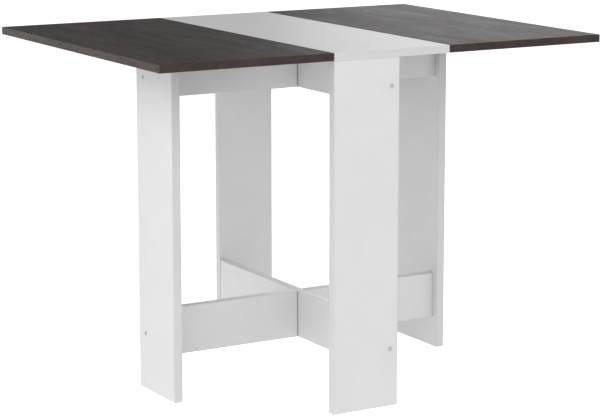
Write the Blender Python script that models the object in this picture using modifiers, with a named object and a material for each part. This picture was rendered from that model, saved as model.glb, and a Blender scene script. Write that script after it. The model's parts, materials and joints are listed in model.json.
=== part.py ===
"""Gateleg table with two drop leaves, four panel legs and two swinging gates.

Metres, +Z up. The origin is on the floor under the middle of the table top. +X runs along the open
length (leaf, centre, leaf) and +Y from the front end of the fixed frame to its back end. The base's
middle stands a little in front of the top's. Every leg, rail and hinge is built in a left or front
half's frame, and the right or back one in the same frame turned half round about Z.
"""
import math

import bpy
import bmesh
from mathutils import Matrix, Vector

# Table top
TOP_LENGTH = 1.034
TOP_DEPTH = 0.760
TABLE_HEIGHT = 0.734
TOP_THICKNESS = 0.016
CENTRE_WIDTH = 0.2712
LEAF_GAP = 0.0012
UNDERSIDE = TABLE_HEIGHT - TOP_THICKNESS

# Base boards
BOARD = 0.019
TOUCH = 0.0003
EDGE_ROUNDING = 0.0008
BASE_Y = -0.010
LEG_OUTER_Y = 0.3668
FRONT_LEG_BEYOND_RAIL = 0.0175
FRONT_LEG_WIDTH = 0.152
BACK_LEG_BEYOND_RAIL = 0.0105
BACK_LEG_WIDTH = 0.138
RAIL_HEIGHT = 0.102
LOWER_RAIL_Z = 0.0675
UPPER_RAIL_Z = UNDERSIDE - TOUCH - RAIL_HEIGHT

# Swinging gates
GATE_TOP = UNDERSIDE - 0.0035
GATE_OUTER_X = {"left": 0.3713, "right": 0.3613}
GATE_LEG_FRONT = {"left": 0.1290, "right": 0.1420}
GATE_LEG_BACK = {"left": 0.0304, "right": 0.0254}
GATE_END_GAP = 0.0015
GATE_AXIS = 0.0225

# Connector screws through the legs into the rail ends
SCREW_HEAD_RADIUS = 0.0047
SCREW_HEAD_PROUD = 0.0009
SCREW_HEAD_RIM = 0.0003
SCREW_HEAD_CROWN_RADIUS = 0.0032
SCREW_NECK_DEPTH = 0.003
SCREW_SHANK_RADIUS = 0.0025
SCREW_LENGTH = 0.048
SOCKET_RADIUS = 0.0023
SOCKET_SIDES = 6
SOCKET_DEPTH = 0.002
CUTTER_OVERRUN = 0.0015
LOWER_SCREW_Z = 0.1195
UPPER_SCREW_Z = 0.6590

# Let-in hinges between the centre and each leaf
LEAF_HINGE_Y = (-0.235, 0.0, 0.235)
LEAF_HINGE_LENGTH = 0.060
LEAF_PLATE_WIDTH = 0.025
LEAF_PLATE_THICKNESS = 0.0015
LEAF_KNUCKLE_RADIUS = 0.0026
LEAF_PIN_RADIUS = 0.0012
LEAF_AXIS_X = (CENTRE_WIDTH + LEAF_GAP) / 2

# Hinges between each gate and the fixed rails
GATE_HINGE_LENGTH = 0.060
GATE_PLATE_REACH = 0.036
GATE_PLATE_THICKNESS = 0.002
GATE_KNUCKLE_RADIUS = 0.005
GATE_PIN_RADIUS = 0.0025
GATE_WEB = 0.004
GATE_HINGE_Z = {"lower": LOWER_RAIL_Z + 0.038, "upper": UPPER_RAIL_Z + RAIL_HEIGHT / 2}

# A pin in its knuckles, and the split between neighbouring knuckles
RUNNING_CLEARANCE = 0.00008
KNUCKLE_SPLIT = 0.0004
ROUND_SIDES = 20
SMOOTH_BELOW = math.radians(35)

# Glide pads on the gates, and angle brackets under the centre
PAD_RADIUS = 0.008
ARM_PAD_X = 0.330
LEG_PAD_Y = 0.100
BRACKET_LEG = 0.020
BRACKET_WIDTH = 0.040
BRACKET_THICKNESS = 0.002
BRACKET_Y = 0.170

MATERIALS = {
    "white_board": ((0.78, 0.78, 0.78), 0.42, 0.0),
    "dark_wood": ((0.075, 0.060, 0.055), 0.38, 0.0),
    "steel": ((0.55, 0.55, 0.56), 0.32, 1.0),
    "black_pad": ((0.03, 0.03, 0.03), 0.70, 0.0),
}


def clear_scene():
    """Remove everything that is in the open file."""
    for obj in list(bpy.data.objects):
        bpy.data.objects.remove(obj, do_unlink=True)
    for collection in list(bpy.data.collections):
        bpy.data.collections.remove(collection)


def new_collection(name):
    """Make a collection in the scene."""
    collection = bpy.data.collections.new(name)
    bpy.context.scene.collection.children.link(collection)
    return collection


def make_materials():
    """Make one Principled BSDF material for each finish."""
    made = {}
    for name, (color, roughness, metallic) in MATERIALS.items():
        material = bpy.data.materials.new(name)
        material.use_nodes = True
        shader = material.node_tree.nodes["Principled BSDF"]
        shader.inputs["Base Color"].default_value = (*color, 1.0)
        shader.inputs["Roughness"].default_value = roughness
        shader.inputs["Metallic"].default_value = metallic
        made[name] = material
    return made


class Builder:
    """Puts named solids and cutters into their collections."""

    def __init__(self):
        clear_scene()
        self.parts = new_collection("gateleg_table")
        self.cutters = new_collection("cutters")
        self.materials = make_materials()

    def empty(self, name, parent=None, location=(0.0, 0.0, 0.0), turn=0.0):
        """Add an empty; a joint's empty stands on the joint's axis."""
        empty = bpy.data.objects.new(name, None)
        empty.location = location
        empty.rotation_euler = (0.0, 0.0, turn)
        empty.parent = parent
        empty.empty_display_size = 0.05
        self.parts.objects.link(empty)
        return empty

    def _place(self, obj, parent, centre, rotation=(0.0, 0.0, 0.0)):
        """Put an object at a point of the turned half's frame, under a parent."""
        origin = parent.location if parent.parent else Vector((0.0, 0.0, 0.0))
        obj.parent = parent
        obj.location = Vector(centre) - origin
        obj.rotation_euler = rotation

    def _from_bmesh(self, name, mesh_data, material):
        """Turn a bmesh into an object, as a part if it has a material, else as a cutter."""
        bmesh.ops.recalc_face_normals(mesh_data, faces=mesh_data.faces)
        mesh = bpy.data.meshes.new(name)
        mesh_data.to_mesh(mesh)
        mesh_data.free()
        obj = bpy.data.objects.new(name, mesh)
        if material:
            mesh.materials.append(self.materials[material])
            self.parts.objects.link(obj)
        else:
            obj.hide_render = True
            obj.display_type = "WIRE"
            self.cutters.objects.link(obj)
        return obj

    def box(self, name, parent, low, high, material=None):
        """A box between two corners."""
        low, high = Vector(low), Vector(high)
        mesh_data = bmesh.new()
        bmesh.ops.create_cube(mesh_data, size=1.0, matrix=Matrix.Diagonal((*(high - low), 1.0)))
        obj = self._from_bmesh(name, mesh_data, material)
        self._place(obj, parent, (low + high) / 2)
        return obj

    def rod(self, name, parent, centre, radius, length, along, material=None, sides=ROUND_SIDES):
        """A cylinder centred on a point, along "X", "Y" or "Z"."""
        mesh_data = bmesh.new()
        bmesh.ops.create_cone(mesh_data, cap_ends=True, segments=sides, radius1=radius,
                              radius2=radius, depth=length)
        obj = self._from_bmesh(name, mesh_data, material)
        if sides >= ROUND_SIDES:
            obj.data.shade_smooth()
            obj.data.set_sharp_from_angle(angle=SMOOTH_BELOW)
        turns = {"X": (0.0, math.pi / 2, 0.0), "Y": (math.pi / 2, 0.0, 0.0), "Z": (0.0, 0.0, 0.0)}
        self._place(obj, parent, centre, turns[along])
        return obj

    def turned(self, name, parent, centre, rotation, profile, material=None):
        """A body turned about its local Z from (radius, z) points, listed from top to bottom."""
        mesh = bpy.data.meshes.new(name)
        mesh_data = bmesh.new()
        points = [mesh_data.verts.new((radius, 0.0, z)) for radius, z in profile]
        for start, end in zip(points, points[1:]):
            mesh_data.edges.new((start, end))
        mesh_data.to_mesh(mesh)
        mesh_data.free()
        obj = bpy.data.objects.new(name, mesh)
        screw = obj.modifiers.new("Turn", "SCREW")
        screw.steps = screw.render_steps = ROUND_SIDES
        screw.use_merge_vertices = True
        screw.merge_threshold = 0.00001
        if material:
            mesh.materials.append(self.materials[material])
            self.parts.objects.link(obj)
        else:
            obj.hide_render = True
            obj.display_type = "WIRE"
            self.cutters.objects.link(obj)
        self._place(obj, parent, centre, rotation)
        return obj


def round_edges(obj, width=EDGE_ROUNDING):
    """Round a board's edges as its edge banding does."""
    bevel = obj.modifiers.new("Edges", "BEVEL")
    bevel.width = width
    bevel.segments = 2
    bevel.limit_method = "ANGLE"


def boolean(obj, other, operation="DIFFERENCE"):
    """Cut a cutter out of an object, or join a construction piece to it."""
    modifier = obj.modifiers.new(other.name, "BOOLEAN")
    modifier.operation = operation
    modifier.solver = "EXACT"
    modifier.object = other


def connector_screw(build, name, parent, centre, rotation, boards):
    """A connector screw through a leg into a rail's end, and its stepped hole in both boards.

    Local +Z points out of the leg, and z = 0 is the leg's outer face.
    """
    neck_z = -SCREW_NECK_DEPTH
    screw = build.turned(name, parent, centre, rotation, (
        (0.0, SCREW_HEAD_PROUD), (SCREW_HEAD_CROWN_RADIUS, SCREW_HEAD_PROUD),
        (SCREW_HEAD_RADIUS, SCREW_HEAD_RIM), (SCREW_HEAD_RADIUS, neck_z),
        (SCREW_SHANK_RADIUS, neck_z), (SCREW_SHANK_RADIUS, -SCREW_LENGTH), (0.0, -SCREW_LENGTH)),
        "steel")
    hole = build.turned(f"{name}_hole", parent, centre, rotation, (
        (0.0, CUTTER_OVERRUN), (SCREW_HEAD_RADIUS + TOUCH, CUTTER_OVERRUN),
        (SCREW_HEAD_RADIUS + TOUCH, neck_z - TOUCH), (SCREW_SHANK_RADIUS + TOUCH, neck_z - TOUCH),
        (SCREW_SHANK_RADIUS + TOUCH, -SCREW_LENGTH - TOUCH), (0.0, -SCREW_LENGTH - TOUCH)))
    for board in boards:
        boolean(board, hole)
    socket_floor = SCREW_HEAD_PROUD - SOCKET_DEPTH
    socket = build.turned(f"{name}_socket", parent, centre, rotation, (
        (0.0, CUTTER_OVERRUN), (SOCKET_RADIUS, CUTTER_OVERRUN), (SOCKET_RADIUS, socket_floor),
        (0.0, socket_floor)))
    turn = socket.modifiers["Turn"]
    turn.steps = turn.render_steps = SOCKET_SIDES
    boolean(screw, socket)


def fixed_frame(build, left, right):
    """The two end legs and the upper and lower rails between them."""
    inner_y = LEG_OUTER_Y - BOARD
    legs = {}
    for name, half, beyond, width in (
            ("front_leg", left, FRONT_LEG_BEYOND_RAIL, FRONT_LEG_WIDTH),
            ("back_leg", right, BACK_LEG_BEYOND_RAIL, BACK_LEG_WIDTH)):
        legs[name] = build.box(name, half, (beyond - width, -LEG_OUTER_Y, 0.0),
                               (beyond, -inner_y, UNDERSIDE - TOUCH), "white_board")
        round_edges(legs[name])
    rails = {}
    for name, low_z in (("lower", LOWER_RAIL_Z), ("upper", UPPER_RAIL_Z)):
        rail = build.box(f"{name}_rail", left, (-BOARD / 2, TOUCH - inner_y, low_z),
                         (BOARD / 2, inner_y - TOUCH, low_z + RAIL_HEIGHT), "white_board")
        round_edges(rail)
        rails[name] = rail
    for leg, half in (("front_leg", left), ("back_leg", right)):
        for level, z in (("lower", LOWER_SCREW_Z), ("upper", UPPER_SCREW_Z)):
            connector_screw(build, f"{leg}_{level}_screw", half, (0.0, -LEG_OUTER_Y, z),
                            (math.pi / 2, 0.0, 0.0), (legs[leg], rails[level]))


def gate(build, side, gate_axis):
    """One gate: its panel leg, two rails, connector screws and glide pads."""
    outer_x = GATE_OUTER_X[side]
    inner_x = outer_x - BOARD
    leg = build.box(f"{side}_gate_leg", gate_axis, (-outer_x, -GATE_LEG_FRONT[side], 0.0),
                    (-inner_x, GATE_LEG_BACK[side], GATE_TOP), "white_board")
    round_edges(leg)
    heights = {"lower": (LOWER_RAIL_Z, LOWER_RAIL_Z + RAIL_HEIGHT), "upper": (UPPER_RAIL_Z, GATE_TOP)}
    screws = {"lower": LOWER_SCREW_Z, "upper": UPPER_SCREW_Z}
    for level, (low_z, high_z) in heights.items():
        rail = build.box(f"{side}_gate_{level}_rail", gate_axis,
                         (TOUCH - inner_x, -BOARD / 2, low_z),
                         (-BOARD / 2 - GATE_END_GAP, BOARD / 2, high_z), "white_board")
        round_edges(rail)
        connector_screw(build, f"{side}_gate_{level}_screw", gate_axis,
                        (-outer_x, 0.0, screws[level]), (0.0, -math.pi / 2, 0.0), (leg, rail))
    pad_low, pad_high = GATE_TOP + TOUCH, UNDERSIDE - TOUCH
    pad_z, pad_height = (pad_low + pad_high) / 2, pad_high - pad_low
    build.rod(f"{side}_gate_arm_pad", gate_axis, (-ARM_PAD_X, 0.0, pad_z), PAD_RADIUS,
              pad_height, "Z", "black_pad")
    build.rod(f"{side}_gate_leg_pad", gate_axis, (-(outer_x + inner_x) / 2, -LEG_PAD_Y, pad_z),
              PAD_RADIUS, pad_height, "Z", "black_pad")


def knuckled(build, plate, parent, segments, along, radius, bore_radius):
    """Join knuckle segments, each with the web that carries it, to a plate, then bore them.

    segments lists (centre, length, web low corner, web high corner).
    """
    for index, (centre, length, web_low, web_high) in enumerate(segments):
        web = build.box(f"{plate.name}_web_{index}", parent, web_low, web_high)
        boolean(plate, web, "UNION")
        knuckle = build.rod(f"{plate.name}_knuckle_{index}", parent, centre, radius, length, along)
        boolean(plate, knuckle, "UNION")
    first, last = Vector(segments[0][0]), Vector(segments[-1][0])
    reach = (last - first).length + 2 * segments[0][1]
    bore = build.rod(f"{plate.name}_bore", parent, (first + last) / 2, bore_radius, reach, along)
    boolean(plate, bore)


def spans(length, moving):
    """Knuckle spans along a hinge, as (middle, length): the moving plate has the middle third."""
    third = length / 3
    if moving:
        return [(0.0, third - KNUCKLE_SPLIT)]
    middle = (length + third) / 4
    return [(-middle, third), (middle, third)]


def leaf_hinge(build, side, number, half, leaf_axis, y, boards):
    """A let-in hinge: a plate under the centre, a plate under the leaf and their pin."""
    name = f"{side}_leaf_hinge_{number}"
    top_z = UNDERSIDE + LEAF_PLATE_THICKNESS
    start = LEAF_KNUCKLE_RADIUS + KNUCKLE_SPLIT
    for part, parent, sign in (("centre_plate", half, 1.0), ("leaf_plate", leaf_axis, -1.0)):
        edges = sorted((-LEAF_AXIS_X + sign * start, -LEAF_AXIS_X + sign * LEAF_PLATE_WIDTH))
        web_x = sorted((-LEAF_AXIS_X, -LEAF_AXIS_X + sign * (start + TOUCH)))
        plate = build.box(f"{name}_{part}", parent,
                          (edges[0], y - LEAF_HINGE_LENGTH / 2, UNDERSIDE),
                          (edges[1], y + LEAF_HINGE_LENGTH / 2, top_z), "steel")
        segments = [((-LEAF_AXIS_X, y + middle, UNDERSIDE), length,
                     (web_x[0], y + middle - length / 2, UNDERSIDE),
                     (web_x[1], y + middle + length / 2, top_z))
                    for middle, length in spans(LEAF_HINGE_LENGTH, sign < 0)]
        knuckled(build, plate, parent, segments, "Y", LEAF_KNUCKLE_RADIUS,
                 LEAF_PIN_RADIUS + RUNNING_CLEARANCE)
    centre = (-LEAF_AXIS_X, y, UNDERSIDE)
    build.rod(f"{name}_pin", half, centre, LEAF_PIN_RADIUS, LEAF_HINGE_LENGTH, "Y", "steel")
    pocket = build.box(f"{name}_pocket", half,
                       (-LEAF_AXIS_X - LEAF_PLATE_WIDTH - TOUCH, y - LEAF_HINGE_LENGTH / 2 - TOUCH,
                        UNDERSIDE - BOARD),
                       (-LEAF_AXIS_X + LEAF_PLATE_WIDTH + TOUCH, y + LEAF_HINGE_LENGTH / 2 + TOUCH,
                        top_z + TOUCH))
    groove = build.rod(f"{name}_groove", half, centre, start, LEAF_HINGE_LENGTH + 2 * TOUCH, "Y")
    for board in boards:
        boolean(board, pocket)
        boolean(board, groove)


def gate_hinge(build, side, level, half, gate_axis):
    """A hinge in the corner behind a gate's rail: one plate on the fixed rail, one on the gate's."""
    name = f"{side}_gate_{level}_hinge"
    z = GATE_HINGE_Z[level]
    face = BOARD / 2 + TOUCH
    outer = face + GATE_PLATE_THICKNESS
    near = GATE_AXIS - GATE_KNUCKLE_RADIUS
    low_z, high_z = z - GATE_HINGE_LENGTH / 2, z + GATE_HINGE_LENGTH / 2
    rail_plate = build.box(f"{name}_rail_plate", half, (-outer, near, low_z),
                           (-face, near + GATE_PLATE_REACH, high_z), "steel")
    gate_plate = build.box(f"{name}_gate_plate", gate_axis, (-near - GATE_PLATE_REACH, face, low_z),
                           (-near, outer, high_z), "steel")
    rail_segments = [((-GATE_AXIS, GATE_AXIS, z + middle), length,
                      (-GATE_AXIS, GATE_AXIS - GATE_WEB, z + middle - length / 2),
                      (TOUCH - outer, GATE_AXIS + GATE_WEB, z + middle + length / 2))
                     for middle, length in spans(GATE_HINGE_LENGTH, False)]
    gate_segments = [((-GATE_AXIS, GATE_AXIS, z + middle), length,
                      (-GATE_AXIS - GATE_WEB, outer - TOUCH, z + middle - length / 2),
                      (-GATE_AXIS + GATE_WEB, GATE_AXIS, z + middle + length / 2))
                     for middle, length in spans(GATE_HINGE_LENGTH, True)]
    bore_radius = GATE_PIN_RADIUS + RUNNING_CLEARANCE
    knuckled(build, rail_plate, half, rail_segments, "Z", GATE_KNUCKLE_RADIUS, bore_radius)
    knuckled(build, gate_plate, gate_axis, gate_segments, "Z", GATE_KNUCKLE_RADIUS, bore_radius)
    build.rod(f"{name}_pin", half, (-GATE_AXIS, GATE_AXIS, z), GATE_PIN_RADIUS,
              GATE_HINGE_LENGTH, "Z", "steel")


def centre_bracket(build, name, half):
    """An angle bracket that holds the centre board to the upper rail."""
    face = BOARD / 2 + TOUCH
    top_z = UNDERSIDE - TOUCH
    low_y, high_y = -BRACKET_Y - BRACKET_WIDTH / 2, -BRACKET_Y + BRACKET_WIDTH / 2
    bracket = build.box(name, half, (-face - BRACKET_THICKNESS, low_y, top_z - BRACKET_LEG),
                        (-face, high_y, top_z), "steel")
    arm = build.box(f"{name}_arm", half, (-face - BRACKET_LEG, low_y, top_z - BRACKET_THICKNESS),
                    (-face - BRACKET_THICKNESS / 2, high_y, top_z))
    boolean(bracket, arm, "UNION")


def table_top(build, left, leaf_axes):
    """The white centre board and the two dark leaves."""
    half_depth = TOP_DEPTH / 2
    centre = build.box("centre_top", left, (-CENTRE_WIDTH / 2, -half_depth, UNDERSIDE),
                       (CENTRE_WIDTH / 2, half_depth, TABLE_HEIGHT), "white_board")
    round_edges(centre)
    leaves = {}
    for side, leaf_axis in leaf_axes.items():
        leaves[side] = build.box(f"{side}_leaf", leaf_axis, (-TOP_LENGTH / 2, -half_depth, UNDERSIDE),
                                 (-CENTRE_WIDTH / 2 - LEAF_GAP, half_depth, TABLE_HEIGHT),
                                 "dark_wood")
        round_edges(leaves[side])
    return centre, leaves


def main():
    """Build the whole table."""
    build = Builder()
    turns = {"left": 0.0, "right": math.pi}
    top = {side: build.empty(f"{side}_top_half", turn=turn) for side, turn in turns.items()}
    base = {side: build.empty(f"{side}_base_half", location=(0.0, BASE_Y, 0.0), turn=turn)
            for side, turn in turns.items()}
    gate_axes = {side: build.empty(f"{side}_gate_axis", half, (-GATE_AXIS, GATE_AXIS, 0.0))
                 for side, half in base.items()}
    leaf_axes = {side: build.empty(f"{side}_leaf_axis", half, (-LEAF_AXIS_X, 0.0, UNDERSIDE))
                 for side, half in top.items()}
    centre, leaves = table_top(build, top["left"], leaf_axes)
    fixed_frame(build, base["left"], base["right"])
    for side in turns:
        gate(build, side, gate_axes[side])
        for level in GATE_HINGE_Z:
            gate_hinge(build, side, level, base[side], gate_axes[side])
        for number, y in enumerate(LEAF_HINGE_Y, start=1):
            leaf_hinge(build, side, number, top[side], leaf_axes[side], y, (centre, leaves[side]))
        centre_bracket(build, f"{side}_centre_bracket", base[side])


main()
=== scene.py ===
"""Visual model of a gateleg table with two dark leaves on white panel legs.

Metres, +Z up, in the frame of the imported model: the origin is on the floor under the middle of the
open table, +X runs from the left leaf to the right one and +Y from the front leg to the back one.
Every board, screw and pad is a surface worked out with numpy, and takes its place and size from
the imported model's own boxes.
"""

import json
import logging
import math
from dataclasses import dataclass, field
from enum import Enum
from typing import Any

import bpy
import numpy as np
from mathutils import Matrix, Vector


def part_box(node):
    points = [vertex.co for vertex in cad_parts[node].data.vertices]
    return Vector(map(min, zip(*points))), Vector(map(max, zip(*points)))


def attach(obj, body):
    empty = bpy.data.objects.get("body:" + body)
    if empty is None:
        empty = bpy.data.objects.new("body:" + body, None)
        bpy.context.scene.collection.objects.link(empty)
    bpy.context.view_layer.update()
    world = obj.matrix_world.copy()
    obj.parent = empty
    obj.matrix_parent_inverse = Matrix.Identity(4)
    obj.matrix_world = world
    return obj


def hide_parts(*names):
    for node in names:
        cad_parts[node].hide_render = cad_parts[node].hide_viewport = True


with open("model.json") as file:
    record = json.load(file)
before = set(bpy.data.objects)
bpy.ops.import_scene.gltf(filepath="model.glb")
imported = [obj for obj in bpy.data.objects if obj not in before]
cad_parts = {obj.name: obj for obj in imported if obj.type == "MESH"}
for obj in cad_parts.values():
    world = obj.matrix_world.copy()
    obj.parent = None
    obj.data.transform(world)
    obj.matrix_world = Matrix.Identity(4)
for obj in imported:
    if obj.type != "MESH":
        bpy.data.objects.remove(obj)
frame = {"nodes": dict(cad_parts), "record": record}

Array = np.ndarray
Point = tuple[float, float, float]
Color = tuple[float, float, float]
Pair = tuple[float, float]

LOG = logging.getLogger("gateleg_table")
TOUCH = 0.0003
HARDWARE_PLATE = 0.002
SMOOTH_BELOW = math.radians(30)
EASE_STEPS = 5
BAND = "band"
WHITE = (1.0, 1.0, 1.0, 1.0)


class Axis(Enum):
    """The world axis that a board's thickness, or a turned body's own axis, lies along."""

    X = 0
    Y = 1
    Z = 2

    def stand(self, across: Array, along: Array, out: Array, sign: float = 1.0) -> Array:
        """Turn local coordinates into world ones, with the last of the three on this axis.

        Args:
            across: first local coordinate.
            along: second local coordinate.
            out: local coordinate that goes on this axis.
            sign: -1 to face the other way, which is a half turn and never a mirror.

        Returns:
            World points, with the three coordinates on the last dimension.
        """
        places: list[Array] = [out, out, out]
        places[self.value] = sign * out
        places[(self.value + 1) % 3] = sign * across
        places[(self.value + 2) % 3] = along
        return np.stack(np.broadcast_arrays(*places), -1)


class Slot(Enum):
    """The finishes of the table, by the names of the record's material slots."""

    WHITE_BOARD = "white_board"
    DARK_WOOD = "dark_wood"
    STEEL = "steel"
    BLACK_PAD = "black_pad"


class Side(Enum):
    """The two sides of the table; the right gate is arranged as the left one after a half turn."""

    LEFT = "left"
    RIGHT = "right"

    @property
    def sign(self) -> float:
        """-1 on the left, where X is negative, and +1 on the right."""
        return -1.0 if self is Side.LEFT else 1.0


# ---------------------------------------------------------------------------------------------
# Surfaces
# ---------------------------------------------------------------------------------------------


def ring_surface(name: str, rings: Array) -> bpy.types.Object:
    """Make closed surfaces from rings of points and link them as one object.

    Point (i, j) is joined to (i, j + 1), (i + 1, j + 1) and (i + 1, j) by one face, the last j
    goes back to the first, and the first and last rings are each closed by one flat face.

    Args:
        name: name of the object and its mesh.
        rings: points in the shape (bodies, rings, points round, 3) or (rings, points round, 3).

    Returns:
        The new object, at the origin.
    """
    bodies = rings.reshape(-1, *rings.shape[-3:])
    count, rows, around = bodies.shape[:3]
    here = np.arange(around)
    after = np.roll(here, -1)
    row = np.arange(rows - 1)[:, None] * around
    quads = np.stack([row + here, row + after, row + around + after, row + around + here], -1)
    first = np.arange(count)[:, None] * rows * around
    walls = (first[..., None] + quads.reshape(1, -1, 4)).reshape(-1, 4)
    starts = first + here[::-1]
    ends = first + (rows - 1) * around + here
    mesh = bpy.data.meshes.new(name)
    mesh.from_pydata(bodies.reshape(-1, 3).tolist(), [],
                     walls.tolist() + starts.tolist() + ends.tolist())
    obj = bpy.data.objects.new(name, mesh)
    bpy.context.scene.collection.objects.link(obj)
    return obj


def soften(obj: bpy.types.Object) -> None:
    """Shade a surface smooth, and keep the edges that turn sharply."""
    obj.data.shade_smooth()
    obj.data.set_sharp_from_angle(angle=SMOOTH_BELOW)


def rounded_outline(half: Pair, inset: Array, corner: float,
                    steps: int = EASE_STEPS) -> tuple[Array, Array]:
    """A rectangle with round corners, drawn once for each inset.

    At inset d a corner is a quarter circle of radius max(corner - d, a tenth of the corner), and
    its centre lies d plus that radius in from both sides.

    Args:
        half: half of the rectangle's length and half of its width.
        inset: how far each drawing stands inside the rectangle.
        corner: radius of the corners at no inset.
        steps: points on each corner.

    Returns:
        The two coordinates, each in the shape (insets, points round).
    """
    inset = inset[:, None, None]
    radius = np.maximum(corner - inset, corner / 10)
    angle = np.arange(4)[:, None] * math.pi / 2 + np.linspace(0.0, math.pi / 2, steps)
    side_a = np.array([1.0, -1.0, -1.0, 1.0])[:, None]
    side_b = np.array([1.0, 1.0, -1.0, -1.0])[:, None]
    first = side_a * (half[0] - inset - radius) + radius * np.cos(angle)
    second = side_b * (half[1] - inset - radius) + radius * np.sin(angle)
    return first.reshape(len(inset), -1), second.reshape(len(inset), -1)


def turned_rings(radius: Array, depth: Array, centre: Point, axis: Axis, sign: float) -> Array:
    """Carry a profile round an axis: the ring at depth w has radius r(w, angle).

    Args:
        radius: radii in the shape (rings, points round).
        depth: one depth for each ring, outwards along the axis.
        centre: point where the depth is zero.
        axis: world axis that the body is turned about.
        sign: +1 if outwards is towards the positive end of that axis, else -1.

    Returns:
        World points in the shape (rings, points round, 3).
    """
    angle = np.linspace(0.0, 2 * math.pi, radius.shape[1], endpoint=False)
    points = axis.stand(radius * np.cos(angle), radius * np.sin(angle), depth[:, None], sign)
    return points + np.array(centre)


def polygon_radius(angle: Array, apothem: float, sides: int) -> Array:
    """Distance to a regular polygon's side: the apothem over the cosine of the angle to it."""
    step = 2 * math.pi / sides
    return apothem / np.cos(np.mod(angle + step / 2, step) - step / 2)


def cross_radius(angle: Array, arm: float, half_width: float) -> Array:
    """Distance to the outline of a cross.

    In each bar the ray ends at the nearer of its end and its side, and the cross is whichever
    of the two bars reaches farther.

    Args:
        angle: directions of the rays.
        arm: length of each of the four arms.
        half_width: half of a bar's width.

    Returns:
        One distance for each ray.
    """
    level = np.maximum(np.abs(np.cos(angle)), 1e-6)
    upright = np.maximum(np.abs(np.sin(angle)), 1e-6)
    flat_bar = np.minimum(arm / level, half_width / upright)
    tall_bar = np.minimum(half_width / level, arm / upright)
    return np.maximum(flat_bar, tall_bar)


def carve(obj: bpy.types.Object, cutters: list[bpy.types.Object]) -> None:
    """Cut closed bodies out of an object for good, and remove those bodies.

    Args:
        obj: the object to cut.
        cutters: the bodies to cut out of it.
    """
    for cutter in cutters:
        cut = obj.modifiers.new(cutter.name, "BOOLEAN")
        cut.operation = "DIFFERENCE"
        cut.solver = "EXACT"
        cut.object = cutter
    whole = obj.data
    graph = bpy.context.evaluated_depsgraph_get()
    obj.data = bpy.data.meshes.new_from_object(obj.evaluated_get(graph))
    obj.data.name = obj.name
    obj.modifiers.clear()
    bpy.data.meshes.remove(whole)
    for cutter in cutters:
        bpy.data.objects.remove(cutter)


# ---------------------------------------------------------------------------------------------
# Finishes
# ---------------------------------------------------------------------------------------------


class NodeBuilder:
    """Adds nodes to one tree and joins them."""

    def __init__(self, tree: bpy.types.NodeTree) -> None:
        """Keep the tree that the nodes go into."""
        self.tree = tree

    def add(self, kind: str, feeds: dict[str | int, Any] | None = None, **settings: Any) -> Any:
        """Add one node.

        Args:
            kind: the node's type, without its ShaderNode prefix.
            feeds: values or output sockets for its inputs, by name or place.
            settings: attributes of the node.

        Returns:
            The new node.
        """
        node = self.tree.nodes.new(f"ShaderNode{kind}")
        for name, value in settings.items():
            setattr(node, name, value)
        self.feed(node, feeds or {})
        return node

    def feed(self, node: Any, feeds: dict[str | int, Any]) -> None:
        """Set or link the inputs of a node.

        Args:
            node: the node.
            feeds: values or output sockets for its inputs, by name or place.
        """
        for name, value in feeds.items():
            if isinstance(value, bpy.types.NodeSocket):
                self.tree.links.new(value, node.inputs[name])
            else:
                node.inputs[name].default_value = value

    def math(self, operation: str, first: Any, second: Any = 0.0) -> Any:
        """One sum on two values or sockets; returns the result's socket."""
        node = self.add("Math", {0: first, 1: second}, operation=operation)
        return node.outputs[0]

    def between(self, value: Any, low: Any, high: Any) -> Any:
        """The number that lies between low and high as value lies between 0 and 1."""
        node = self.add("MapRange", {"Value": value, "To Min": low, "To Max": high})
        return node.outputs["Result"]

    def blend(self, amount: Any, first: Any, second: Any, mode: str = "MIX") -> Any:
        """Mix two colours.

        Args:
            amount: how much of the second colour there is.
            first: first colour.
            second: second colour.
            mode: how they are mixed.

        Returns:
            The mixed colour's socket.
        """
        node = self.add("Mix", data_type="RGBA", blend_type=mode)
        self.feed(node, {0: amount, 6: first, 7: second})
        return node.outputs[2]

    def spread(self, value: Any, low: float, high: float) -> Any:
        """Stretch the numbers from low to high over 0 to 1; returns the result's socket."""
        node = self.add("MapRange", {"Value": value, "From Min": low, "From Max": high})
        return node.outputs["Result"]

    def grey(self, value: Any) -> Any:
        """A grey of the given value; returns the colour's socket."""
        return self.add("CombineColor", {"Red": value, "Green": value, "Blue": value}).outputs[0]

    def facing(self, axis: Axis) -> Any:
        """How squarely the surface faces an axis of its object, from 0 to 1 either way."""
        parts = self.add("SeparateXYZ", {0: self.add("TexCoord").outputs["Normal"]})
        return self.math("ABSOLUTE", parts.outputs[axis.name])


class GroupNames(Enum):
    """The shader node groups that the finishes share."""

    SPECKLE = "fine_speckle"
    GRAIN = "wood_grain"
    EDGING = "edge_banding"


def new_group(name: GroupNames, inputs: dict[str, tuple[str, Any]],
              outputs: list[str]) -> tuple[NodeBuilder, Any, Any]:
    """Start a shader node group.

    Args:
        name: which group it is.
        inputs: kind of socket and default value for each input's name.
        outputs: names of the outputs, which are all numbers.

    Returns:
        A builder for the group's tree, its input node and its output node.
    """
    tree = bpy.data.node_groups.new(name.value, "ShaderNodeTree")
    for label, (kind, value) in inputs.items():
        socket = tree.interface.new_socket(label, in_out="INPUT", socket_type=f"NodeSocket{kind}")
        if value is not None:
            socket.default_value = value
    for label in outputs:
        tree.interface.new_socket(label, in_out="OUTPUT", socket_type="NodeSocketFloat")
    build = NodeBuilder(tree)
    return build, tree.nodes.new("NodeGroupInput"), tree.nodes.new("NodeGroupOutput")


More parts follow.
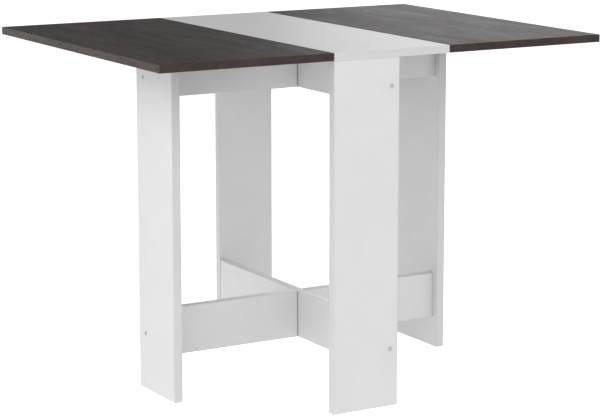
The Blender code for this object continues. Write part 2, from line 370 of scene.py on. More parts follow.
def make_speckle_group() -> None:
    """Cloudy specks: two octaves of noise, one speck wide and four specks wide, stretched by
    the contrast about their middle."""
    build, taken, given = new_group(GroupNames.SPECKLE, {
        "Vector": ("Vector", None), "Speck": ("Float", 0.001), "Contrast": ("Float", 1.0)},
        ["Mask"])
    scale = build.math("DIVIDE", 1.0, taken.outputs["Speck"])
    fine = build.add("TexNoise", {"Vector": taken.outputs["Vector"], "Scale": scale,
                                  "Detail": 2.0, "Roughness": 0.6})
    wide = build.add("TexNoise", {"Vector": taken.outputs["Vector"],
                                  "Scale": build.math("DIVIDE", scale, 4.0), "Detail": 1.0})
    both = build.math("ADD", fine.outputs["Fac"], wide.outputs["Fac"])
    spread = build.math("MULTIPLY", build.math("SUBTRACT", both, 1.0), taken.outputs["Contrast"])
    mask = build.add("Clamp", {"Value": build.math("ADD", spread, 0.5)}).outputs[0]
    build.feed(given, {"Mask": mask})


def make_grain_group() -> None:
    """Wood figure along Y: noise drawn out along the grain, in broad bands, narrow streaks and
    short dark pores."""
    build, taken, given = new_group(GroupNames.GRAIN, {
        "Vector": ("Vector", None), "Band": ("Float", 0.03), "Streak": ("Float", 0.003),
        "Pore": ("Float", 0.0006)}, ["Figure", "Streaks", "Pores"])
    parts = build.add("SeparateXYZ", {"Vector": taken.outputs["Vector"]}).outputs

    def drawn_out(width: Any, draw: float, detail: float, warp: float) -> Any:
        """Noise that is drawn out along Y.

        Args:
            width: width of its features across the grain.
            draw: how many times longer than wide they are.
            detail: octaves of finer noise.
            warp: how far it is distorted.

        Returns:
            The noise's socket.
        """
        across = build.math("DIVIDE", parts["X"], width)
        length = build.math("DIVIDE", parts["Y"], build.math("MULTIPLY", width, draw))
        up = build.math("DIVIDE", parts["Z"], width)
        point = build.add("CombineXYZ", {"X": across, "Y": length, "Z": up}).outputs[0]
        return build.add("TexNoise", {"Vector": point, "Scale": 1.0, "Detail": detail,
                                      "Roughness": 0.62, "Distortion": warp}).outputs["Fac"]

    figure = drawn_out(taken.outputs["Band"], 9.0, 3.0, 0.5)
    streaks = drawn_out(taken.outputs["Streak"], 26.0, 3.0, 0.2)
    pores = drawn_out(taken.outputs["Pore"], 18.0, 1.0, 0.0)
    build.feed(given, {"Figure": figure, "Streaks": streaks,
                       "Pores": build.spread(pores, 0.56, 0.68)})


def make_edging_group() -> None:
    """Where a board's edging is: the board's own band attribute is 0 on its faces and 1 on its
    edging, and the glue line is where it passes a half."""
    build, _, given = new_group(GroupNames.EDGING, {}, ["Edging", "Glue"])
    value = build.add("Attribute", attribute_name=BAND).outputs["Fac"]
    off_middle = build.math("ABSOLUTE", build.math("SUBTRACT", value, 0.5))
    build.feed(given, {"Edging": value, "Glue": build.spread(off_middle, 0.5, 0.2)})


@dataclass(frozen=True)
class Finish:
    """What every finish has: a name and a way to make its material."""

    name: str

    def begin(self) -> tuple[bpy.types.Material, NodeBuilder, Any, Any]:
        """Start the material.

        Returns:
            The material, a builder for its tree, its Principled BSDF node and the socket of its
            Object coordinates.
        """
        material = bpy.data.materials.new(self.name)
        material.use_nodes = True
        build = NodeBuilder(material.node_tree)
        place = build.add("TexCoord").outputs["Object"]
        return material, build, material.node_tree.nodes["Principled BSDF"], place

    def use(self, build: NodeBuilder, group: GroupNames, **feeds: Any) -> Any:
        """Place a shared group in the material.

        Args:
            build: builder for the material's tree.
            group: which group it is.
            feeds: values or output sockets for the group's inputs.

        Returns:
            The group's outputs.
        """
        node = build.add("Group", node_tree=bpy.data.node_groups[group.value])
        build.feed(node, feeds)
        return node.outputs

    def relief(self, build: NodeBuilder, shader: Any, height: Any, depth: float) -> None:
        """Feed a height to the shader's normal as relief of a given depth in metres."""
        bump = build.add("Bump", {"Height": height, "Distance": depth})
        build.feed(shader, {"Normal": bump.outputs["Normal"]})


@dataclass(frozen=True)
class MelamineFinish(Finish):
    """White melamine facing with glued-on edging, satin and faintly pearled; its edging has painted
    shade where upright and painted light where level.

    Attributes:
        face: colour of the facing.
        shaded_upright_edging: colour of the edging where it stands upright, painted darker as
            painted shade.
        lit_level_edging: colour of the edging where it lies level, painted paler as painted light.
        glue: colour of the line between them.
        roughness: least and greatest roughness of the facing.
        pearl: width of the fine specks.
        cloud: width of the wide ones.
        pearl_shade: how dark the fine specks go, where 1 is no change.
        cloud_shade: how dark the wide ones go.
    """

    face: Color = (0.735, 0.735, 0.738)
    shaded_upright_edging: Color = (0.65, 0.65, 0.652)
    lit_level_edging: Color = (0.86, 0.86, 0.862)
    glue: Color = (0.50, 0.50, 0.49)
    roughness: Pair = (0.36, 0.50)
    edging_roughness: float = 0.30
    specular: float = 0.85
    pearl: float = 0.0011
    pearl_contrast: float = 1.2
    pearl_shade: float = 0.975
    cloud: float = 0.045
    cloud_contrast: float = 1.5
    cloud_shade: float = 0.965
    relief_depth: float = 0.00004

    def make(self) -> bpy.types.Material:
        """Make the material.

        Returns:
            The new material.
        """
        material, build, shader, place = self.begin()
        pearl = self.use(build, GroupNames.SPECKLE, Vector=place, Speck=self.pearl,
                         Contrast=self.pearl_contrast)["Mask"]
        cloud = self.use(build, GroupNames.SPECKLE, Vector=place, Speck=self.cloud,
                         Contrast=self.cloud_contrast)["Mask"]
        edge = self.use(build, GroupNames.EDGING)
        tone = build.between(cloud, self.cloud_shade, 1.0)
        tone = build.math("MULTIPLY", tone, build.between(pearl, self.pearl_shade, 1.0))
        # Painted shade and painted light: the edging is darker where it stands upright and paler
        # where it lies level, chosen by how squarely it faces Z.
        edging_with_painted_light = build.blend(build.facing(Axis.Z), (*self.shaded_upright_edging, 1.0),
                             (*self.lit_level_edging, 1.0))
        color = build.blend(edge["Edging"], (*self.face, 1.0), edging_with_painted_light)
        color = build.blend(edge["Glue"], color, (*self.glue, 1.0))
        color = build.blend(1.0, color, build.grey(tone), "MULTIPLY")
        rough = build.between(pearl, *self.roughness)
        rough = build.between(edge["Edging"], rough, self.edging_roughness)
        build.feed(shader, {"Base Color": color, "Roughness": rough,
                            "Specular IOR Level": self.specular})
        self.relief(build, shader, pearl, self.relief_depth)
        return material


@dataclass(frozen=True)
class WoodFinish(Finish):
    """Dark brown-grey wood facing with open pores, its grain along Y, and edging to match; the
    edging that faces across the grain is painted paler, as painted light.

    Attributes:
        light: colour of the lightest wood.
        dark: colour of the darkest wood.
        red: colour of the warm streaks.
        end_edging: colour of the edging that faces along the grain.
        lit_side_edging: colour of the edging that faces across it, painted paler as painted light.
        sheen: tint of the reflections.
        shares: how much the broad figure and the streaks each give to the tone.
        tone_range: where the mixed noise starts and ends.
        warm_range: where the streaks start and end being warm.
        warm_amounts: how much red the facing and the edging get in them.
        mottle: darkest and lightest factor on the edging.
        pore_cover: how much of the wood a pore's colour hides.
        pore_roughness: how much rougher a pore is.
        tone_height: height of the light wood against a pore's depth.
    """

    light: Color = (0.038, 0.0255, 0.0242)
    dark: Color = (0.017, 0.0115, 0.0110)
    red: Color = (0.085, 0.040, 0.034)
    pore: Color = (0.008, 0.006, 0.0055)
    end_edging: Color = (0.060, 0.046, 0.043)
    lit_side_edging: Color = (0.105, 0.093, 0.087)
    glue: Color = (0.014, 0.011, 0.010)
    roughness: Pair = (0.44, 0.52)
    specular: float = 0.10
    sheen: Color = (1.0, 0.94, 0.925)
    relief_depth: float = 0.00004
    band: float = 0.034
    streak: float = 0.0024
    pore_width: float = 0.0007
    shares: Pair = (0.55, 0.45)
    tone_range: Pair = (0.36, 0.64)
    warm_range: Pair = (0.48, 0.66)
    warm_amounts: Pair = (0.22, 0.35)
    mottle: Pair = (0.72, 1.12)
    pore_cover: float = 0.8
    pore_roughness: float = 0.12
    tone_height: float = 0.3

    def make(self) -> bpy.types.Material:
        """Make the material.

        Returns:
            The new material.
        """
        material, build, shader, place = self.begin()
        grain = self.use(build, GroupNames.GRAIN, Vector=place, Band=self.band,
                         Streak=self.streak, Pore=self.pore_width)
        edge = self.use(build, GroupNames.EDGING)
        both = build.math("ADD", build.math("MULTIPLY", grain["Figure"], self.shares[0]),
                          build.math("MULTIPLY", grain["Streaks"], self.shares[1]))
        tone = build.spread(both, *self.tone_range)
        color = build.blend(tone, (*self.dark, 1.0), (*self.light, 1.0))
        # Painted light: edging that faces along X is painted paler than edging that faces along Y.
        edging_with_painted_light = build.blend(build.facing(Axis.X), (*self.end_edging, 1.0),
                             (*self.lit_side_edging, 1.0))
        mottle = build.grey(build.between(tone, *self.mottle))
        edging_with_painted_light = build.blend(1.0, edging_with_painted_light, mottle, "MULTIPLY")
        color = build.blend(edge["Edging"], color, edging_with_painted_light)
        warm = build.spread(grain["Streaks"], *self.warm_range)
        amount = build.math("MULTIPLY", warm, build.between(edge["Edging"], *self.warm_amounts))
        color = build.blend(amount, color, (*self.red, 1.0))
        covered = build.math("MULTIPLY", grain["Pores"], self.pore_cover)
        color = build.blend(covered, color, (*self.pore, 1.0))
        color = build.blend(edge["Glue"], color, (*self.glue, 1.0))
        rough = build.between(tone, self.roughness[1], self.roughness[0])
        rougher = build.math("MULTIPLY", grain["Pores"], self.pore_roughness)
        build.feed(shader, {"Base Color": color, "Roughness": build.math("ADD", rough, rougher),
                            "Specular IOR Level": self.specular,
                            "Specular Tint": (*self.sheen, 1.0)})
        raised = build.math("MULTIPLY", tone, self.tone_height)
        height = build.math("SUBTRACT", raised, grain["Pores"])
        self.relief(build, shader, height, self.relief_depth)
        return material


@dataclass(frozen=True)
class PlatedSteelFinish(Finish):
    """Zinc-plated steel: a cloudy grey plating over fine rolling lines."""

    bright: Color = (0.76, 0.76, 0.77)
    dull: Color = (0.62, 0.62, 0.63)
    roughness: Pair = (0.24, 0.42)
    spangle: float = 0.004
    contrast: float = 2.0
    lines: float = 0.00025
    relief_depth: float = 0.00003

    def make(self) -> bpy.types.Material:
        """Make the material.

        Returns:
            The new material.
        """
        material, build, shader, place = self.begin()
        spangle = self.use(build, GroupNames.SPECKLE, Vector=place, Speck=self.spangle,
                           Contrast=self.contrast)["Mask"]
        rolled = self.use(build, GroupNames.GRAIN, Vector=place, Band=self.spangle,
                          Streak=self.lines, Pore=self.lines)["Streaks"]
        color = build.blend(spangle, (*self.dull, 1.0), (*self.bright, 1.0))
        build.feed(shader, {"Base Color": color, "Metallic": 1.0,
                            "Roughness": build.between(rolled, *self.roughness)})
        self.relief(build, shader, rolled, self.relief_depth)
        return material


@dataclass(frozen=True)
class FeltFinish(Finish):
    """Black pressed felt with a loose, dusty surface."""

    fibre: Color = (0.050, 0.049, 0.050)
    hollow: Color = (0.016, 0.016, 0.017)
    roughness: float = 0.95
    sheen: float = 0.4
    tuft: float = 0.0005
    contrast: float = 2.2
    relief_depth: float = 0.0003

    def make(self) -> bpy.types.Material:
        """Make the material.

        Returns:
            The new material.
        """
        material, build, shader, place = self.begin()
        tuft = self.use(build, GroupNames.SPECKLE, Vector=place, Speck=self.tuft,
                        Contrast=self.contrast)["Mask"]
        color = build.blend(tuft, (*self.hollow, 1.0), (*self.fibre, 1.0))
        build.feed(shader, {"Base Color": color, "Roughness": self.roughness,
                            "Sheen Weight": self.sheen})
        self.relief(build, shader, tuft, self.relief_depth)
        return material


@dataclass(frozen=True)
class FloorFinish(Finish):
    """A plain, pale studio floor that glows faintly, and more where the camera sees it.

    Attributes:
        color: colour of the floor.
        glow: strength of the glow that the camera sees, which keeps shadows on it soft.
        bounce: strength of the glow that lights the table from below.
        cloud: width of the faint clouds in it.
        cloud_shade: how dark they go, where 1 is no change.
    """

    color: Color = (0.86, 0.86, 0.86)
    glow: float = 0.85
    bounce: float = 0.40
    roughness: float = 0.9
    specular: float = 0.1
    cloud: float = 0.5
    cloud_contrast: float = 1.0
    cloud_shade: float = 0.99

    def make(self) -> bpy.types.Material:
        """Make the material.

        Returns:
            The new material.
        """
        material, build, shader, place = self.begin()
        cloud = self.use(build, GroupNames.SPECKLE, Vector=place, Speck=self.cloud,
                         Contrast=self.cloud_contrast)["Mask"]
        shaded = [part * self.cloud_shade for part in self.color]
        color = build.blend(cloud, (*shaded, 1.0), (*self.color, 1.0))
        seen = build.add("LightPath").outputs["Is Camera Ray"]
        build.feed(shader, {"Base Color": color, "Roughness": self.roughness,
                            "Specular IOR Level": self.specular, "Emission Color": WHITE,
                            "Emission Strength": build.between(seen, self.bounce, self.glow)})
        return material


class Workshop:
    """Holds the finished materials, knows which body a node belongs to, and places pieces."""

    def __init__(self) -> None:
        """Make the shared groups and one material for each slot."""
        make_speckle_group()
        make_grain_group()
        make_edging_group()
        self.materials = {
            Slot.WHITE_BOARD: MelamineFinish("white_melamine").make(),
            Slot.DARK_WOOD: WoodFinish("dark_wood_facing").make(),
            Slot.STEEL: PlatedSteelFinish("plated_steel").make(),
            Slot.BLACK_PAD: FeltFinish("black_felt").make(),
        }
        groups = frame["record"]["behaviour"]["bodies"]
        self.bodies = {node: body for body, nodes in groups.items() for node in nodes}

    def place(self, obj: bpy.types.Object, slot: Slot, node: str, stands_for: bool) -> None:
        """Dress a new piece and make it ride with a node's body.

        Args:
            obj: the piece.
            slot: its finish.
            node: the node whose body it rides on.
            stands_for: whether it is shown in place of that node.
        """
        soften(obj)
        obj.data.materials.clear()
        obj.data.materials.append(self.materials[slot])
        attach(obj, self.bodies[node])
        if stands_for:
            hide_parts(node)
        LOG.info("%s: %d faces, rides on %s", obj.name, len(obj.data.polygons), self.bodies[node])

    def dress(self, node: str, slot: Slot) -> None:
        """Give a carried-over node its finish.

        Args:
            node: the node.
            slot: its finish.
        """
        materials = frame["nodes"][node].data.materials
        materials.clear()
        materials.append(self.materials[slot])
        LOG.info("%s: kept, dressed in %s", node, slot.value)


# ---------------------------------------------------------------------------------------------
# Boards, screws and pads
# ---------------------------------------------------------------------------------------------


@dataclass(frozen=True)
class BandedEdge:
    """How a board's edge is finished: a glued-on edging with its arrises eased.

    Attributes:
        rounding: radius of the arris.
        thickness: thickness of the edging, seen on the faces.
        seam: width of the fine groove between the edging and the facing.
        seam_depth: depth of that groove.
        margin: width of the flat strips that hold the shading beside each curve.
        steps: faces round each arris.
    """

    rounding: float = 0.0008
    thickness: float = 0.0012
    seam: float = 0.0003
    seam_depth: float = 0.00012
    margin: float = 0.0008
    steps: int = 4

    def profile(self, board: float) -> tuple[Array, Array, Array]:
        """The edge's section from the lower face to the upper one.

        The arris is a quarter circle: inset r(1 - sin a), height r(1 - cos a). Inside it come
        the groove, a V one seam wide, and a flat strip. The upper half mirrors the lower.

        Args:
            board: the board's thickness.

        Returns:
            Inset and height of each ring, and 1 where it lies on the edging, a half in the
            groove and 0 on the facing.
        """
        turn = np.linspace(0.0, math.pi / 2, self.steps + 1)
        half = self.seam / 2
        inset = np.concatenate([
            [self.thickness + self.margin, self.thickness + half, self.thickness,
             self.thickness - half], self.rounding * (1 - np.sin(turn)), [0.0]])
        height = np.concatenate([
            [0.0, 0.0, self.seam_depth, 0.0], self.rounding * (1 - np.cos(turn)),
            [self.rounding + self.margin]])
        mask = np.concatenate([[0.0, 0.0, 0.5, 1.0], np.ones(len(turn) + 1)])
        return (np.concatenate([inset, inset[::-1]]),
                np.concatenate([height, board - height[::-1]]),
                np.concatenate([mask, mask[::-1]]))


@dataclass
class Board:
    """A banded board that is shown in place of one node."""

    node: str
    across: Axis
    slot: Slot
    edge: BandedEdge = field(default_factory=BandedEdge)
    corner: float = 0.0010

    def build(self, shop: Workshop, cutters: list[bpy.types.Object] | None = None) -> None:
        """Carry the edge's section round the board's outline, and cut its holes.

        Args:
            shop: where the piece is dressed and placed.
            cutters: bodies to cut out of the board.
        """
        low, high = (np.array(corner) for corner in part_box(self.node))
        size = high - low
        k = self.across.value
        inset, height, mask = self.edge.profile(size[k])
        half = (size[(k + 1) % 3] / 2, size[(k + 2) % 3] / 2)
        first, second = rounded_outline(half, inset, self.corner)
        rings = self.across.stand(first, second, (height - size[k] / 2)[:, None])
        obj = ring_surface(f"{self.node}_board", rings + (low + high) / 2)
        band = obj.data.attributes.new(BAND, "FLOAT", "POINT")
        band.data.foreach_set("value", np.repeat(mask, first.shape[1]).astype(np.float32))
        if cutters:
            carve(obj, cutters)
        shop.place(obj, self.slot, self.node, stands_for=True)


@dataclass(frozen=True)
class ConnectorScrew:
    """A flat-topped connector screw with a hexagon socket, shown in place of one node.

    Attributes:
        node: the node that it stands for.
        axis: the world axis that it lies along.
        sign: which end of that axis its head faces.
    """

    node: str
    axis: Axis
    sign: float
    crown: float = 0.0033
    rim: float = 0.0003
    neck: float = 0.003
    shank: float = 0.0025
    tip: float = 0.0008
    tip_length: float = 0.005
    socket: float = 0.0021
    socket_depth: float = 0.0018
    socket_sides: int = 6
    hole_beyond: float = 0.001
    sides: int = 36

    def frame_of(self) -> tuple[Array, float, float, float]:
        """Where the node puts the screw.

        Returns:
            The point on its axis at the lowest coordinate, then the head's radius, and the
            coordinates of the head's top and of the tip along the axis, counted outwards.
        """
        low, high = (np.array(corner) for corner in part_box(self.node))
        k = self.axis.value
        ends = sorted((self.sign * low[k], self.sign * high[k]))
        centre = (low + high) / 2
        centre[k] = 0.0
        return centre, (high - low)[(k + 1) % 3] / 2, ends[1], ends[0]

    def build(self, shop: Workshop) -> None:
        """Turn the profile about the screw's axis.

        The radius is constant round each ring, except in the socket, where it is the distance
        to a hexagon's side.

        Args:
            shop: where the piece is dressed and placed.
        """
        centre, head, top, end = self.frame_of()
        face = top - 3 * self.rim
        ease = np.linspace(0.0, math.pi / 2, EASE_STEPS)
        radius = np.concatenate([
            [self.tip, self.shank, self.shank, head, head],
            self.crown + (head - self.crown) * np.cos(ease[1:]), [self.socket + self.rim]])
        depth = np.concatenate([
            [end, end + self.tip_length, face - self.neck, face - self.neck, face + self.rim],
            face + self.rim + 2 * self.rim * np.sin(ease[1:]), [top]])
        angle = np.linspace(0.0, 2 * math.pi, self.sides, endpoint=False)
        wall = polygon_radius(angle, self.socket, self.socket_sides)
        rounds = np.repeat(radius[:, None], self.sides, axis=1)
        rings = np.concatenate([rounds, wall[None], wall[None]])
        depth = np.concatenate([depth, [top - self.rim / 2, top - self.socket_depth]])
        obj = ring_surface(f"{self.node}_turned",
                           turned_rings(rings, depth, tuple(centre), self.axis, self.sign))
        shop.place(obj, Slot.STEEL, self.node, stands_for=True)

    def hole(self) -> bpy.types.Object:
        """The stepped hole that the screw sits in.

        Returns:
            A body to cut out of a board.
        """
        centre, head, top, end = self.frame_of()
        face = top - 3 * self.rim
        radius = np.array([self.shank, self.shank, head, head]) + TOUCH
        depth = np.array([end - TOUCH, face - self.neck - TOUCH, face - self.neck - TOUCH,
                          top + self.hole_beyond])
        rings = np.repeat(radius[:, None], self.sides, axis=1)
        return ring_surface(f"{self.node}_hole",
                            turned_rings(rings, depth, tuple(centre), self.axis, self.sign))


@dataclass(frozen=True)
class WoodScrews:
    """Countersunk wood screws with cross recesses, all of one plate as one piece.

    Attributes:
        name: the piece's name.
        node: the plate that they hold; they ride on its body.
        axis: the world axis that they lie along.
        sign: which end of that axis their heads face.
        points: where the middles of their heads are.
    """

    name: str
    node: str
    axis: Axis
    sign: float
    points: list[Point]
    head: float = 0.0029
    proud: float = 0.00015
    shank: float = 0.0014
    length: float = 0.011
    tip: float = 0.0004
    tip_length: float = 0.004
    crown: float = 0.85
    arm: float = 0.0017
    half_width: float = 0.0004
    recess: float = 0.0010
    recess_taper: float = 0.6
    sides: int = 24

    def build(self, shop: Workshop) -> None:
        """Turn the profile about each point's axis, with a cross for the recess's rings.

        Args:
            shop: where the piece is dressed and placed.
        """
        angle = np.linspace(0.0, 2 * math.pi, self.sides, endpoint=False)
        mouth = cross_radius(angle, self.arm, self.half_width)
        ones = np.ones(self.sides)
        radius = np.stack([
            self.tip * ones, self.shank * ones, self.shank * ones, self.head * ones,
            self.head * ones, self.crown * self.head * ones, mouth, self.recess_taper * mouth])
        drop = self.head - self.shank
        depth = np.array([-self.length, self.tip_length - self.length, -drop, 0.0, self.proud / 2,
                          self.proud, self.proud, self.proud - self.recess])
        rings = np.stack([turned_rings(radius, depth, point, self.axis, self.sign)
                          for point in self.points])
        shop.place(ring_surface(self.name, rings), Slot.STEEL, self.node, stands_for=False)


@dataclass(frozen=True)
class GlidePad:
    """A round felt pad on top of a gate, shown in place of one node."""

    node: str
    easing: float = 0.0008
    sides: int = 40

    def build(self, shop: Workshop) -> None:
        """Turn a disc with both rims rounded: radius R - e(1 - cos a), height e(1 - sin a).

        Args:
            shop: where the piece is dressed and placed.
        """
        low, high = (np.array(corner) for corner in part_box(self.node))
        centre, size = (low + high) / 2, high - low
        turn = np.linspace(0.0, math.pi / 2, EASE_STEPS)
        pull = self.easing * (1 - np.cos(turn[::-1]))
        lift = self.easing * (1 - np.sin(turn[::-1]))
        radius = size[0] / 2 - np.concatenate([pull, pull[::-1]])
        depth = np.concatenate([lift, size[2] - lift[::-1]]) - size[2] / 2
        rings = np.repeat(radius[:, None], self.sides, axis=1)
        obj = ring_surface(f"{self.node}_felt",
                           turned_rings(rings, depth, tuple(centre), Axis.Z, 1.0))
        shop.place(obj, Slot.BLACK_PAD, self.node, stands_for=True)


# ---------------------------------------------------------------------------------------------
# Sub-assemblies
# ---------------------------------------------------------------------------------------------


@dataclass
class LeafHinge:
    """A hinge let in flush under the centre board and one leaf."""

    side: Side
    number: int
    plate: float = 0.0015
    knuckle_room: float = 0.0030
    recess_depth: float = 0.005
    recess_corner: float = 0.0004
    groove_sides: int = 32
    screw_out: Pair = (0.0085, 0.0185)
    screw_along: float = 0.021

    @property
    def name(self) -> str:
        """What the hinge's nodes begin with."""
        return f"{self.side.value}_leaf_hinge_{self.number}"

    def pocket(self) -> list[bpy.types.Object]:
        """The recess for both plates and the groove for the knuckles.

        Returns:
            Bodies to cut out of the boards.
        """
        pin_low, pin_high = (np.array(corner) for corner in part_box(f"{self.name}_pin"))
        plates = [np.array(corner) for part in ("centre_plate", "leaf_plate")
                  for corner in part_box(f"{self.name}_{part}")]
        low, high = np.min(plates, axis=0), np.max(plates, axis=0)
        pin = (pin_low + pin_high) / 2
        low = np.array([low[0] - TOUCH, pin_low[1] - TOUCH, pin[2] - self.recess_depth])
        high = np.array([high[0] + TOUCH, pin_high[1] + TOUCH, pin[2] + self.plate + TOUCH])
        first, second = rounded_outline(tuple((high - low)[:2] / 2), np.zeros(2),
                                        self.recess_corner)
        depth = np.array([-0.5, 0.5])[:, None] * (high - low)[2]
        rings = Axis.Z.stand(first, second, depth) + (low + high) / 2
        around = np.full((2, self.groove_sides), self.knuckle_room)
        reach = (pin_high - pin_low)[1] / 2 + TOUCH
        return [ring_surface(f"{self.name}_recess", rings),
                ring_surface(f"{self.name}_groove",
                             turned_rings(around, np.array([-reach, reach]), tuple(pin), Axis.Y,
                                          1.0))]

    def build(self, shop: Workshop) -> None:
        """Dress the plates and the pin, and set three screws in each plate.

        Args:
            shop: where the pieces are dressed and placed.
        """
        low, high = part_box(f"{self.name}_pin")
        pin_x, pin_y, face = (low.x + high.x) / 2, (low.y + high.y) / 2, (low.z + high.z) / 2
        shop.dress(f"{self.name}_pin", Slot.STEEL)
        for part, outwards in (("centre_plate", -self.side.sign), ("leaf_plate", self.side.sign)):
            shop.dress(f"{self.name}_{part}", Slot.STEEL)
            near, far = self.screw_out
            spots = [(pin_x + outwards * out, pin_y + along * self.screw_along, face)
                     for out, along in ((near, -1.0), (far, 0.0), (near, 1.0))]
            WoodScrews(f"{self.name}_{part}_screws", f"{self.name}_{part}", Axis.Z, -1.0,
                       spots).build(shop)


@dataclass
class TableTop:
    """The white centre board, the two dark leaves and the six hinges between them."""

    hinges_a_side: int = 3

    def build(self, shop: Workshop) -> None:
        """Build the three boards with their hinge recesses, then the hinges.

        Args:
            shop: where the pieces are dressed and placed.
        """
        hinges = [LeafHinge(side, number) for side in Side
                  for number in range(1, self.hinges_a_side + 1)]
        boards = [("centre_top", Slot.WHITE_BOARD, hinges)]
        boards += [(f"{side.value}_leaf", Slot.DARK_WOOD,
                    [hinge for hinge in hinges if hinge.side is side]) for side in Side]
        for node, slot, met in boards:
            cutters = [body for hinge in met for body in hinge.pocket()]
            Board(node, Axis.Z, slot).build(shop, cutters)
        for hinge in hinges:
            hinge.build(shop)


@dataclass
class FixedFrame:
    """The front and back panel legs, the two rails between them and the brackets on top."""

    levels: tuple[str, str] = ("lower", "upper")
    bracket_out: float = 0.014
    bracket_down: float = 0.013
    bracket_spread: float = 0.011

    def build(self, shop: Workshop) -> None:
        """Build the legs, rails, connector screws and brackets.

        Args:
            shop: where the pieces are dressed and placed.
        """
        ends = {leg: [ConnectorScrew(f"{leg}_{level}_screw", Axis.Y, sign)
                      for level in self.levels]
                for leg, sign in (("front_leg", -1.0), ("back_leg", 1.0))}
        for leg, screws in ends.items():
            Board(leg, Axis.Y, Slot.WHITE_BOARD).build(shop, [s.hole() for s in screws])
            for screw in screws:
                screw.build(shop)
        for index, level in enumerate(self.levels):
            holes = [screws[index].hole() for screws in ends.values()]
            Board(f"{level}_rail", Axis.X, Slot.WHITE_BOARD).build(shop, holes)
        for side in Side:
            self.bracket(shop, side)

    def bracket(self, shop: Workshop, side: Side) -> None:
        """Dress one angle bracket and set two screws in each of its legs.

        Args:
            shop: where the pieces are dressed and placed.
            side: the side of the upper rail that it stands on.
        """
        node = f"{side.value}_centre_bracket"
        shop.dress(node, Slot.STEEL)
        low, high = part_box(node)
        rail_low, rail_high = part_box("upper_rail")
        wall = rail_low.x if side is Side.LEFT else rail_high.x
        plate = HARDWARE_PLATE + TOUCH
        middle = (low.y + high.y) / 2
        spread = (-self.bracket_spread, self.bracket_spread)
        upright = [(wall + side.sign * plate, middle + y, high.z - self.bracket_down)
                   for y in spread]
        level = [(wall + side.sign * self.bracket_out, middle + y, high.z - HARDWARE_PLATE)
                 for y in spread]
        WoodScrews(f"{node}_rail_screws", node, Axis.X, side.sign, upright).build(shop)
        WoodScrews(f"{node}_top_screws", node, Axis.Z, -1.0, level).build(shop)


@dataclass
class SwingingGate:
    """One gate: its panel leg, two rails, connector screws, hinges and glide pads."""

    side: Side
    levels: tuple[str, str] = ("lower", "upper")
    screw_out: Pair = (0.011, 0.025)
    screw_along: Pair = (0.010, 0.022)

    def build(self, shop: Workshop) -> None:
        """Build the gate's boards, then its screws, hinges and pads.

        Args:
            shop: where the pieces are dressed and placed.
        """
        gate = f"{self.side.value}_gate"
        screws = [ConnectorScrew(f"{gate}_{level}_screw", Axis.X, self.side.sign)
                  for level in self.levels]
        Board(f"{gate}_leg", Axis.X, Slot.WHITE_BOARD).build(shop, [s.hole() for s in screws])
        for level, screw in zip(self.levels, screws):
            Board(f"{gate}_{level}_rail", Axis.Y, Slot.WHITE_BOARD).build(shop, [screw.hole()])
            screw.build(shop)
            self.hinge(shop, level)
        for pad in ("arm_pad", "leg_pad"):
            GlidePad(f"{gate}_{pad}").build(shop)

    def hinge(self, shop: Workshop, level: str) -> None:
        """Dress one hinge and set four screws in each of its plates.

        A plate's outer face stands one plate's thickness and one touching gap off its rail.

        Args:
            shop: where the pieces are dressed and placed.
            level: which of the gate's rails it carries.
        """
        name = f"{self.side.value}_gate_{level}_hinge"
        low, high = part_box(f"{name}_pin")
        pin = (low + high) / 2
        out, back = self.side.sign, -self.side.sign
        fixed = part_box(f"{level}_rail")
        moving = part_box(f"{self.side.value}_gate_{level}_rail")
        off_rail = HARDWARE_PLATE + TOUCH
        wall_x = (fixed[1].x if out > 0 else fixed[0].x) + out * off_rail
        wall_y = (moving[1].y if back > 0 else moving[0].y) + back * off_rail
        near, far = self.screw_out
        low_along, high_along = self.screw_along
        pattern = [(near, -low_along), (near, low_along), (far, -high_along), (far, high_along)]
        shop.dress(f"{name}_pin", Slot.STEEL)
        plates = (
            ("rail_plate", Axis.X, out,
             [(wall_x, pin.y + back * reach, pin.z + rise) for reach, rise in pattern]),
            ("gate_plate", Axis.Y, back,
             [(pin.x + out * reach, wall_y, pin.z + rise) for reach, rise in pattern]),
        )
        for part, axis, sign, spots in plates:
            shop.dress(f"{name}_{part}", Slot.STEEL)
            WoodScrews(f"{name}_{part}_screws", f"{name}_{part}", axis, sign, spots).build(shop)


# ---------------------------------------------------------------------------------------------
# Studio
# ---------------------------------------------------------------------------------------------


@dataclass(frozen=True)
class Softbox:
    """A soft rectangular light that faces the table and is hidden from the camera.

    Attributes:
        name: its name.
        place: where it stands.
        size: its width and height.
        power: its power in watts.
        aim: the point that it faces.
    """

    name: str
    place: Point
    size: Pair
    power: float
    aim: Point = (0.0, 0.0, 0.45)

    def build(self) -> None:
        """Make the light."""
        lamp = bpy.data.lights.new(self.name, "AREA")
        lamp.shape = "RECTANGLE"
        lamp.size, lamp.size_y = self.size
        lamp.energy = self.power
        obj = bpy.data.objects.new(self.name, lamp)
        obj.location = self.place
        obj.visible_camera = False
        facing = obj.location - Vector(self.aim)
        obj.rotation_euler = facing.to_track_quat("Z", "Y").to_euler()
        bpy.context.scene.collection.objects.link(obj)


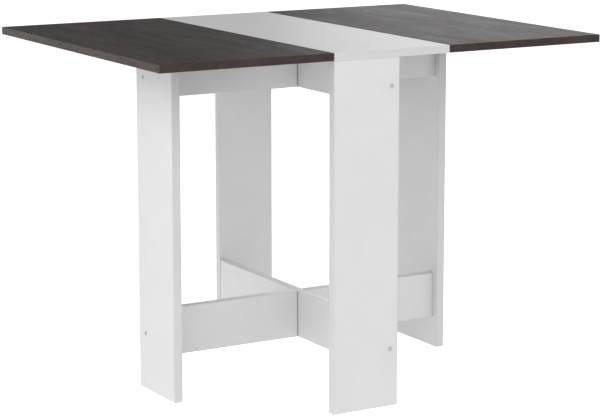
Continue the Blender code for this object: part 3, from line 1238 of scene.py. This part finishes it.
@dataclass
class Studio:
    """A pale floor, an even sky, softboxes and the camera."""

    floor_half: float = 30.0
    horizon: float = 1.12
    zenith: float = 0.0
    backdrop: float = 1.1
    mirrored: float = 0.52
    softboxes: tuple[Softbox, ...] = (
        Softbox("left_softbox", (-3.2, -0.6, 1.1), (2.4, 2.0), 7.3),
        Softbox("left_high_softbox", (-3.0, -0.2, 2.6), (2.0, 1.6), 20.5),
        Softbox("front_left_softbox", (-2.6, -2.8, 1.9), (2.0, 1.8), 27.0),
        Softbox("front_high_softbox", (-0.3, -3.0, 2.8), (2.4, 1.6), 8.5),
        Softbox("right_softbox", (3.2, -1.2, 1.4), (2.0, 2.0), 15.0),
        Softbox("rear_softbox", (3.6, 3.2, 1.6), (2.6, 1.8), 13.3),
        Softbox("near_rear_softbox", (1.7, 1.7, 1.15), (1.3, 0.8), 4.0),
        Softbox("top_softbox", (0.0, 0.0, 3.2), (2.4, 2.4), 8.0),
    )
    camera_place: Point = (-2.2806, -3.9338, 1.2367)
    camera_yaw: float = 0.5437
    camera_pitch: float = -0.1761
    camera_roll: float = 0.0027
    lens: float = 128.36
    sensor: float = 36.0
    clip: Pair = (0.1, 100.0)
    shift: Pair = (-0.0596, -0.0600)

    def build(self) -> None:
        """Build the floor, the sky, the lights and the camera."""
        self.floor()
        self.sky()
        for box in self.softboxes:
            box.build()
        self.camera()
        bpy.context.scene.view_settings.view_transform = "Standard"

    def floor(self) -> None:
        """One square, just under the feet."""
        reach = self.floor_half
        mesh = bpy.data.meshes.new("studio_floor")
        mesh.from_pydata([(-reach, -reach, 0.0), (reach, -reach, 0.0), (reach, reach, 0.0),
                          (-reach, reach, 0.0)], [], [(0, 1, 2, 3)])
        mesh.materials.append(FloorFinish("pale_floor").make())
        obj = bpy.data.objects.new("studio_floor", mesh)
        bpy.context.scene.collection.objects.link(obj)

    def sky(self) -> None:
        """White light that fades from the horizon up, before a pale backdrop, and is dimmer in
        reflections than on dull surfaces."""
        world = bpy.data.worlds.new("studio_sky")
        bpy.context.scene.world = world
        world.use_nodes = True
        build = NodeBuilder(world.node_tree)
        up = build.add("SeparateXYZ", {0: build.add("TexCoord").outputs["Generated"]}).outputs["Z"]
        light = build.between(up, self.horizon, self.zenith)
        ray = build.add("LightPath").outputs
        mirrored = build.between(ray["Is Glossy Ray"], 1.0, self.mirrored)
        light = build.math("MULTIPLY", light, mirrored)
        strength = build.between(ray["Is Camera Ray"], light, self.backdrop)
        build.feed(world.node_tree.nodes["Background"], {"Strength": strength, "Color": WHITE})

    def camera(self) -> None:
        """A long lens from the front left, a little above the top."""
        data = bpy.data.cameras.new("camera")
        data.lens = self.lens
        data.sensor_width = self.sensor
        data.shift_x, data.shift_y = self.shift
        data.clip_start, data.clip_end = self.clip
        obj = bpy.data.objects.new("camera", data)
        obj.matrix_world = (Matrix.Translation(self.camera_place)
                            @ Matrix.Rotation(-self.camera_yaw, 4, "Z")
                            @ Matrix.Rotation(math.pi / 2 + self.camera_pitch, 4, "X")
                            @ Matrix.Rotation(self.camera_roll, 4, "Z"))
        bpy.context.scene.collection.objects.link(obj)
        bpy.context.scene.camera = obj


def main() -> None:
    """Build the table and the studio."""
    logging.basicConfig(level=logging.INFO, format="%(message)s")
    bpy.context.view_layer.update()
    shop = Workshop()
    TableTop().build(shop)
    FixedFrame().build(shop)
    for side in Side:
        SwingingGate(side).build(shop)
    Studio().build()
    bpy.context.view_layer.update()


if __name__ == "__main__":
    main()
